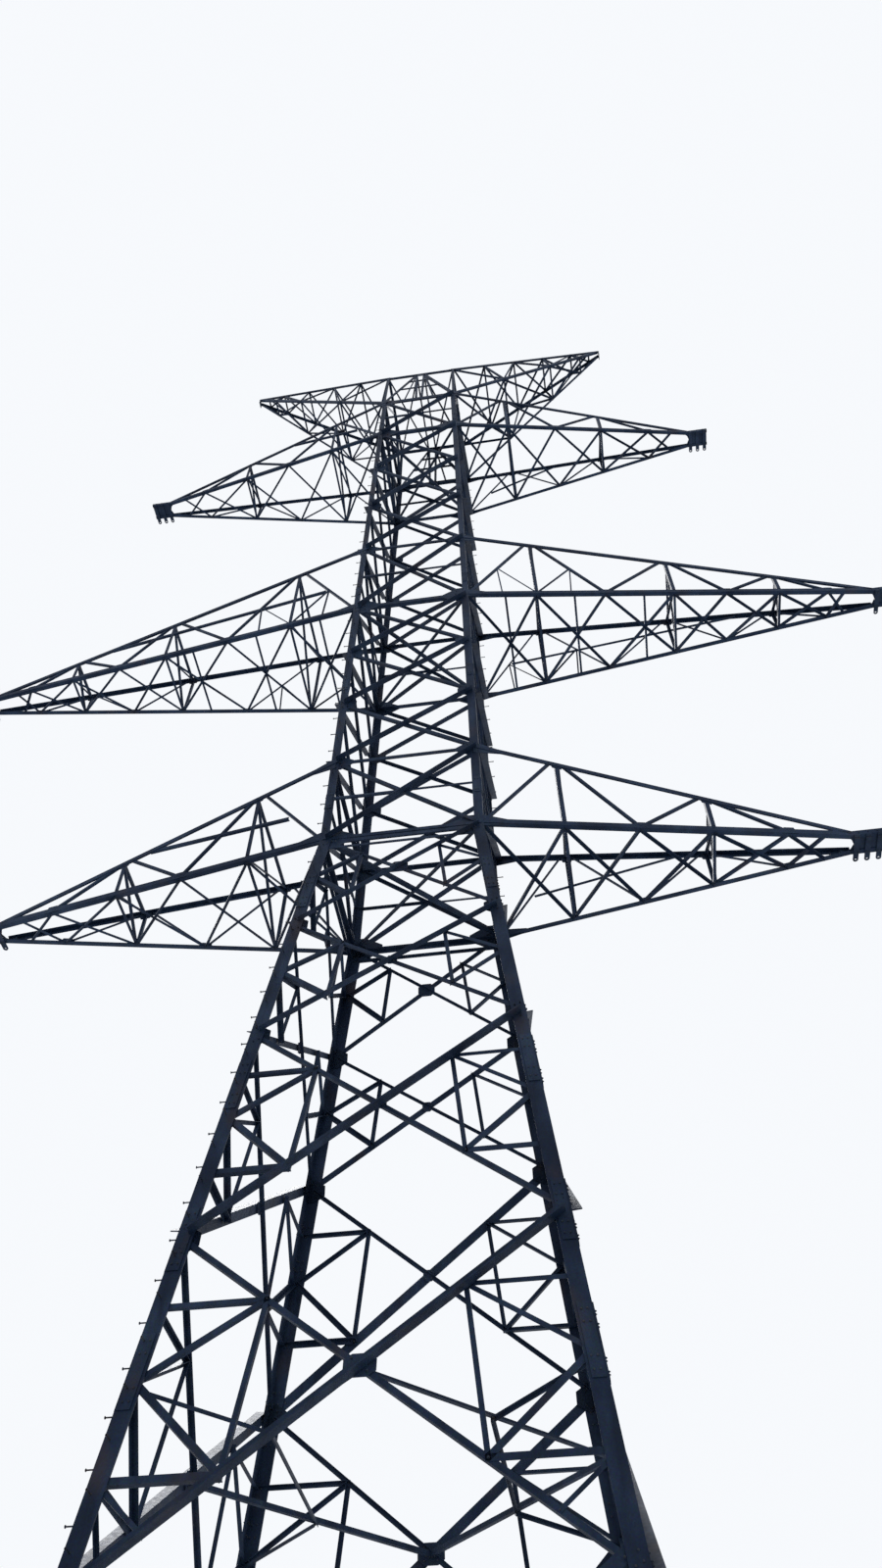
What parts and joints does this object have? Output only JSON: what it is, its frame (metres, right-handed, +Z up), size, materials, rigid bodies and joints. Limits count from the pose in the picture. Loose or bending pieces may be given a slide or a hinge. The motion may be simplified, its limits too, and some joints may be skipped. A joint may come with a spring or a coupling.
{
  "type": "lattice transmission pylon, 1:2 scale model",
  "caption": "Lattice steel transmission tower with tapering crossarms, raised earthwire arms and splayed legs on base plates, modelled at half size.",
  "frame": {"origin": "ground level on the tower's vertical axis, in the middle of the four base plates", "axes": "+X along the crossarms, +Y along the line, +Z up"},
  "size_m": [15.06, 5, 29.96],
  "materials": {
    "leg_angle_steel": "dull weathered hot-dip galvanised steel",
    "bracing_steel": "dull weathered hot-dip galvanised steel",
    "arm_angle_steel": "dull weathered hot-dip galvanised steel",
    "attachment_plate_steel": "dull weathered hot-dip galvanised steel",
    "base_plate_steel": "dull weathered hot-dip galvanised steel"
  },
  "bodies": {
    "root": {"base_bracing_far_left": "bracing_steel", "base_bracing_far_right": "bracing_steel", "base_bracing_near_left": "bracing_steel", "base_bracing_near_right": "bracing_steel", "base_plates": "base_plate_steel", "body_bracing_far": "bracing_steel", "body_bracing_left": "bracing_steel", "body_bracing_near": "bracing_steel", "body_bracing_right": "bracing_steel", "earthwire_arm_left": "arm_angle_steel", "earthwire_arm_right": "arm_angle_steel", "earthwire_peak": "arm_angle_steel", "earthwire_tip_plates": "attachment_plate_steel", "head_bracing_far": "bracing_steel", "head_bracing_left": "bracing_steel", "head_bracing_near": "bracing_steel", "head_bracing_right": "bracing_steel", "lower_crossarm_left": "arm_angle_steel", "lower_crossarm_right": "arm_angle_steel", "lower_diaphragm": "bracing_steel", "lower_hangers": "attachment_plate_steel", "lower_leg_far_left": "leg_angle_steel", "lower_leg_far_right": "leg_angle_steel", "lower_leg_near_left": "leg_angle_steel", "lower_leg_near_right": "leg_angle_steel", "middle_crossarm_left": "arm_angle_steel", "middle_crossarm_right": "arm_angle_steel", "middle_diaphragm": "bracing_steel", "middle_hangers": "attachment_plate_steel", "top_leg_far_left": "leg_angle_steel", "top_leg_far_right": "leg_angle_steel", "top_leg_near_left": "leg_angle_steel", "top_leg_near_right": "leg_angle_steel", "upper_crossarm_left": "arm_angle_steel", "upper_crossarm_right": "arm_angle_steel", "upper_diaphragm": "bracing_steel", "upper_hangers": "attachment_plate_steel", "upper_leg_far_left": "leg_angle_steel", "upper_leg_far_right": "leg_angle_steel", "upper_leg_near_left": "leg_angle_steel", "upper_leg_near_right": "leg_angle_steel"}
  },
  "joints": []
}
